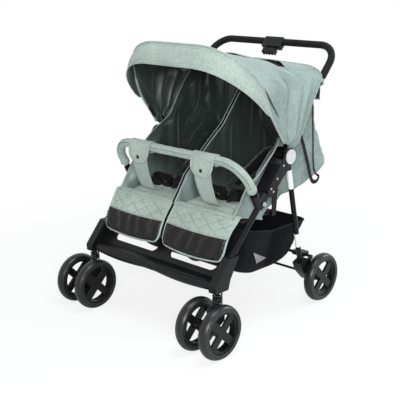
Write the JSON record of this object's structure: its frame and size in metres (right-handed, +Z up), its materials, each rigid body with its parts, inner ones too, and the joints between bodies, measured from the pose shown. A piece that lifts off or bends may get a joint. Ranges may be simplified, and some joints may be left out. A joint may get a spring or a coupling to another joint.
{
  "type": "side by side double stroller",
  "caption": "Folding side by side double stroller with one wide canopy, reclining seats, padded bumper, swivel casters and foot brake.",
  "frame": {"origin": "on the ground under the middle of the outline", "axes": "+X to the right seen from the front, -Y to the front, +Z up"},
  "size_m": [0.788, 0.8665, 1.0232],
  "materials": {
    "frame_black": "satin black powder coat",
    "plastic_black": "fine grained black moulding",
    "wheel_plastic": "black moulded wheel",
    "tyre": "matte black",
    "steel": "bright zinc",
    "spring_black": "black coated wire",
    "cap_silver": "pale silver",
    "button_grey": "light grey",
    "band_white": "pale reflective band",
    "foam": "soft matte foam",
    "fabric_mint": "mottled sage green weave",
    "fabric_lining": "dark green lining",
    "basket_black": "black woven nylon",
    "webbing": "black webbing",
    "pvc_black": "black wipe-clean cover",
    "mesh_grey": "grey net"
  },
  "bodies": {
    "front_frame": {"front_legs": "frame_black", "hinge_housings": "plastic_black", "hinge_caps": "cap_silver", "leg_collars": "plastic_black", "frame_rivets": "steel", "footrest": "plastic_black", "leg_feet": "plastic_black", "seat_frame": "frame_black", "seat_left": "fabric_mint", "seat_right": "fabric_mint", "legrest_left": "fabric_mint", "legrest_right": "fabric_mint", "shell_left": "fabric_mint", "shell_right": "fabric_mint", "basket": "basket_black", "crotch_straps": "fabric_mint", "lap_straps": "webbing", "buckles": "plastic_black", "recline_straps": "webbing", "spring_left": "spring_black", "spring_right": "spring_black"},
    "handle": {"handle_tube": "frame_black", "handle_foam": "foam", "fold_plate": "plastic_black", "canopy_clips": "plastic_black"},
    "trigger": {"fold_trigger": "plastic_black"},
    "canopy": {"canopy_bow": "frame_black", "canopy_fabric": "fabric_mint"},
    "rear_frame": {"rear_legs": "frame_black", "rear_brackets": "plastic_black", "rear_axle": "steel", "leg_bands": "band_white", "rear_rivets": "steel"},
    "brake": {"brake_bar": "frame_black", "brake_pedals": "plastic_black"},
    "rear_wheel_left": {"rear_rim_left": "wheel_plastic", "rear_tyre_left": "tyre"},
    "rear_wheel_right": {"rear_rim_right": "wheel_plastic", "rear_tyre_right": "tyre"},
    "bumper": {"bumper_bar": "frame_black", "bumper_cover": "fabric_mint", "strap_snaps": "plastic_black"},
    "backrest_left": {"back_left": "fabric_lining"},
    "button_left": {"bumper_button_left": "button_grey"},
    "suspension_left": {"stem_left": "steel"},
    "caster_left": {"fork_left": "plastic_black", "axle_left": "steel"},
    "wheel_left_outer": {"rim_left_outer": "wheel_plastic", "tyre_left_outer": "tyre"},
    "wheel_left_inner": {"rim_left_inner": "wheel_plastic", "tyre_left_inner": "tyre"},
    "backrest_right": {"back_right": "fabric_lining"},
    "button_right": {"bumper_button_right": "button_grey"},
    "suspension_right": {"stem_right": "steel"},
    "caster_right": {"fork_right": "plastic_black", "axle_right": "steel"},
    "wheel_right_outer": {"rim_right_outer": "wheel_plastic", "tyre_right_outer": "tyre"},
    "wheel_right_inner": {"rim_right_inner": "wheel_plastic", "tyre_right_inner": "tyre"}
  },
  "joints": [
    {"name": "handle_fold", "type": "hinge", "parent": "front_frame", "child": "handle", "pos_m": [0, 0.07773, 0.629], "axis": [1, 0, 0], "range_deg": [0, 112], "deforming": ["shell_left", "shell_right", "recline_straps"]},
    {"name": "rear_fold", "type": "hinge", "parent": "front_frame", "child": "rear_frame", "pos_m": [0, 0.07773, 0.629], "axis": [1, 0, 0], "range_deg": [-29, 0]},
    {"name": "canopy_fold", "type": "hinge", "parent": "handle", "child": "canopy", "pos_m": [0, 0.11015, 0.66439], "axis": [1, 0, 0], "range_deg": [-69, 0], "deforming": ["canopy_fabric"]},
    {"name": "fold_trigger", "type": "slide", "parent": "handle", "child": "trigger", "axis": [0, 0.6756, 0.7373], "range_m": [0, 0.007], "stiffness_N_per_m": 500, "springref_m": -0.006},
    {"name": "brake_press", "type": "hinge", "parent": "rear_frame", "child": "brake", "pos_m": [0, 0.31373, 0.14], "axis": [1, 0, 0], "range_deg": [-18, 0]},
    {"name": "bumper_pull", "type": "slide", "parent": "front_frame", "child": "bumper", "axis": [0, -0.4879, 0.8729], "range_m": [0, 0.035], "deforming": ["crotch_straps"]},
    {"name": "recline_left", "type": "hinge", "parent": "front_frame", "child": "backrest_left", "pos_m": [-0.142, 0.05973, 0.412], "axis": [1, 0, 0], "range_deg": [0, 50]},
    {"name": "bumper_button_left", "type": "slide", "parent": "front_frame", "child": "button_left", "axis": [1, 0, 0], "range_m": [0, 0.004], "stiffness_N_per_m": 300, "springref_m": -0.003},
    {"name": "rear_wheel_spin_left", "type": "hinge", "parent": "rear_frame", "child": "rear_wheel_left", "pos_m": [-0.329, 0.32373, 0.097], "axis": [1, 0, 0], "continuous": true},
    {"name": "suspension_left", "type": "slide", "parent": "front_frame", "child": "suspension_left", "axis": [0, 0, 1], "range_m": [0, 0.012], "stiffness_N_per_m": 5000, "springref_m": -0.02, "deforming": ["spring_left"]},
    {"name": "caster_swivel_left", "type": "hinge", "parent": "suspension_left", "child": "caster_left", "pos_m": [-0.323, -0.29027, 0.15], "axis": [0, 0, 1], "continuous": true},
    {"name": "wheel_spin_left_outer", "type": "hinge", "parent": "caster_left", "child": "wheel_left_outer", "pos_m": [-0.376, -0.33627, 0.097], "axis": [1, 0, 0], "continuous": true},
    {"name": "wheel_spin_left_inner", "type": "hinge", "parent": "caster_left", "child": "wheel_left_inner", "pos_m": [-0.27, -0.33627, 0.097], "axis": [1, 0, 0], "continuous": true},
    {"name": "recline_right", "type": "hinge", "parent": "front_frame", "child": "backrest_right", "pos_m": [0.142, 0.05973, 0.412], "axis": [1, 0, 0], "range_deg": [0, 50]},
    {"name": "bumper_button_right", "type": "slide", "parent": "front_frame", "child": "button_right", "axis": [-1, 0, 0], "range_m": [0, 0.004], "stiffness_N_per_m": 300, "springref_m": -0.003},
    {"name": "rear_wheel_spin_right", "type": "hinge", "parent": "rear_frame", "child": "rear_wheel_right", "pos_m": [0.329, 0.32373, 0.097], "axis": [1, 0, 0], "continuous": true},
    {"name": "suspension_right", "type": "slide", "parent": "front_frame", "child": "suspension_right", "axis": [0, 0, 1], "range_m": [0, 0.012], "stiffness_N_per_m": 5000, "springref_m": -0.02, "deforming": ["spring_right"]},
    {"name": "caster_swivel_right", "type": "hinge", "parent": "suspension_right", "child": "caster_right", "pos_m": [0.323, -0.29027, 0.15], "axis": [0, 0, 1], "continuous": true},
    {"name": "wheel_spin_right_outer", "type": "hinge", "parent": "caster_right", "child": "wheel_right_outer", "pos_m": [0.376, -0.33627, 0.097], "axis": [1, 0, 0], "continuous": true},
    {"name": "wheel_spin_right_inner", "type": "hinge", "parent": "caster_right", "child": "wheel_right_inner", "pos_m": [0.27, -0.33627, 0.097], "axis": [1, 0, 0], "continuous": true}
  ],
  "couplings": [
    {"joint": "rear_fold", "follows": "handle_fold", "ratio": -0.255},
    {"joint": "canopy_fold", "follows": "handle_fold", "ratio": -0.61}
  ]
}
